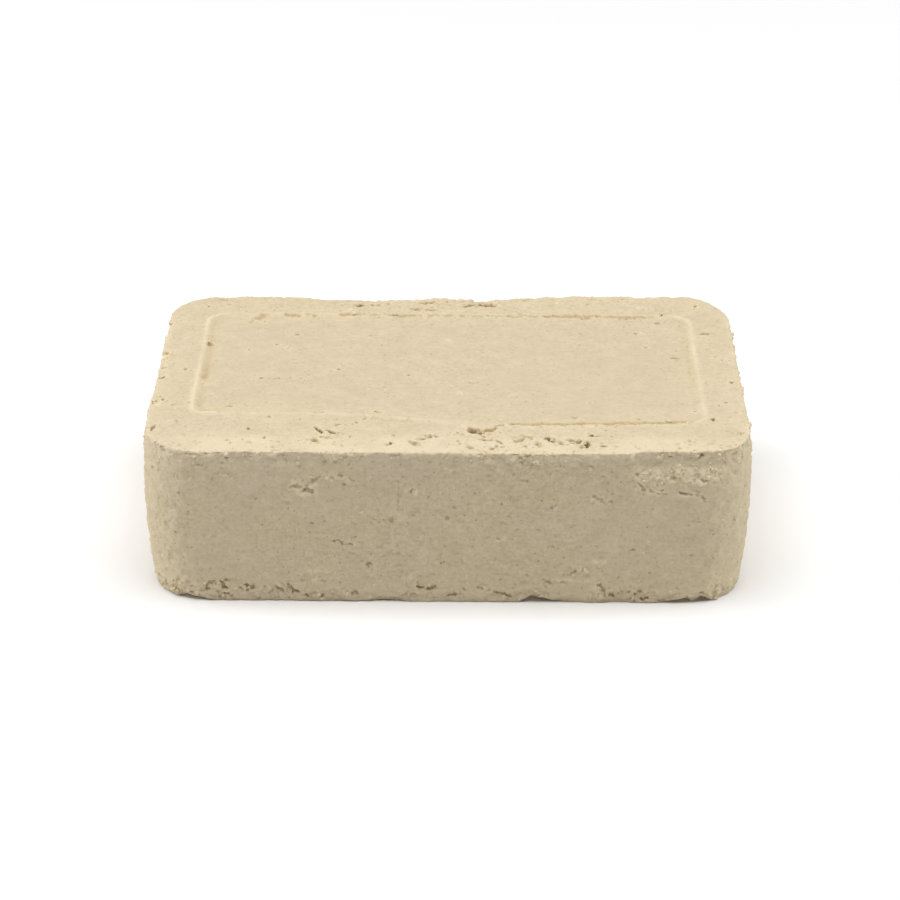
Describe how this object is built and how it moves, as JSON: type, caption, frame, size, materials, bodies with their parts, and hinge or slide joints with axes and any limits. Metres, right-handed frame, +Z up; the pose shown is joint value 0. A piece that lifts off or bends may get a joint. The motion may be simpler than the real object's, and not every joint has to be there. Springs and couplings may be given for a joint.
{
  "type": "sesame halva block",
  "caption": "Pressed slab of sesame halva with rounded upright corners, crumbly edges and a shallow panel outline pressed into its flat top.",
  "frame": {"origin": "centre of the bounding box at the flat base", "axes": "+X along the length of the block, -Y towards the front face, +Z up"},
  "size_m": [0.1471, 0.0824, 0.0424],
  "materials": {
    "halva": null
  },
  "bodies": {
    "root": {"halva_block": "halva"}
  },
  "joints": []
}
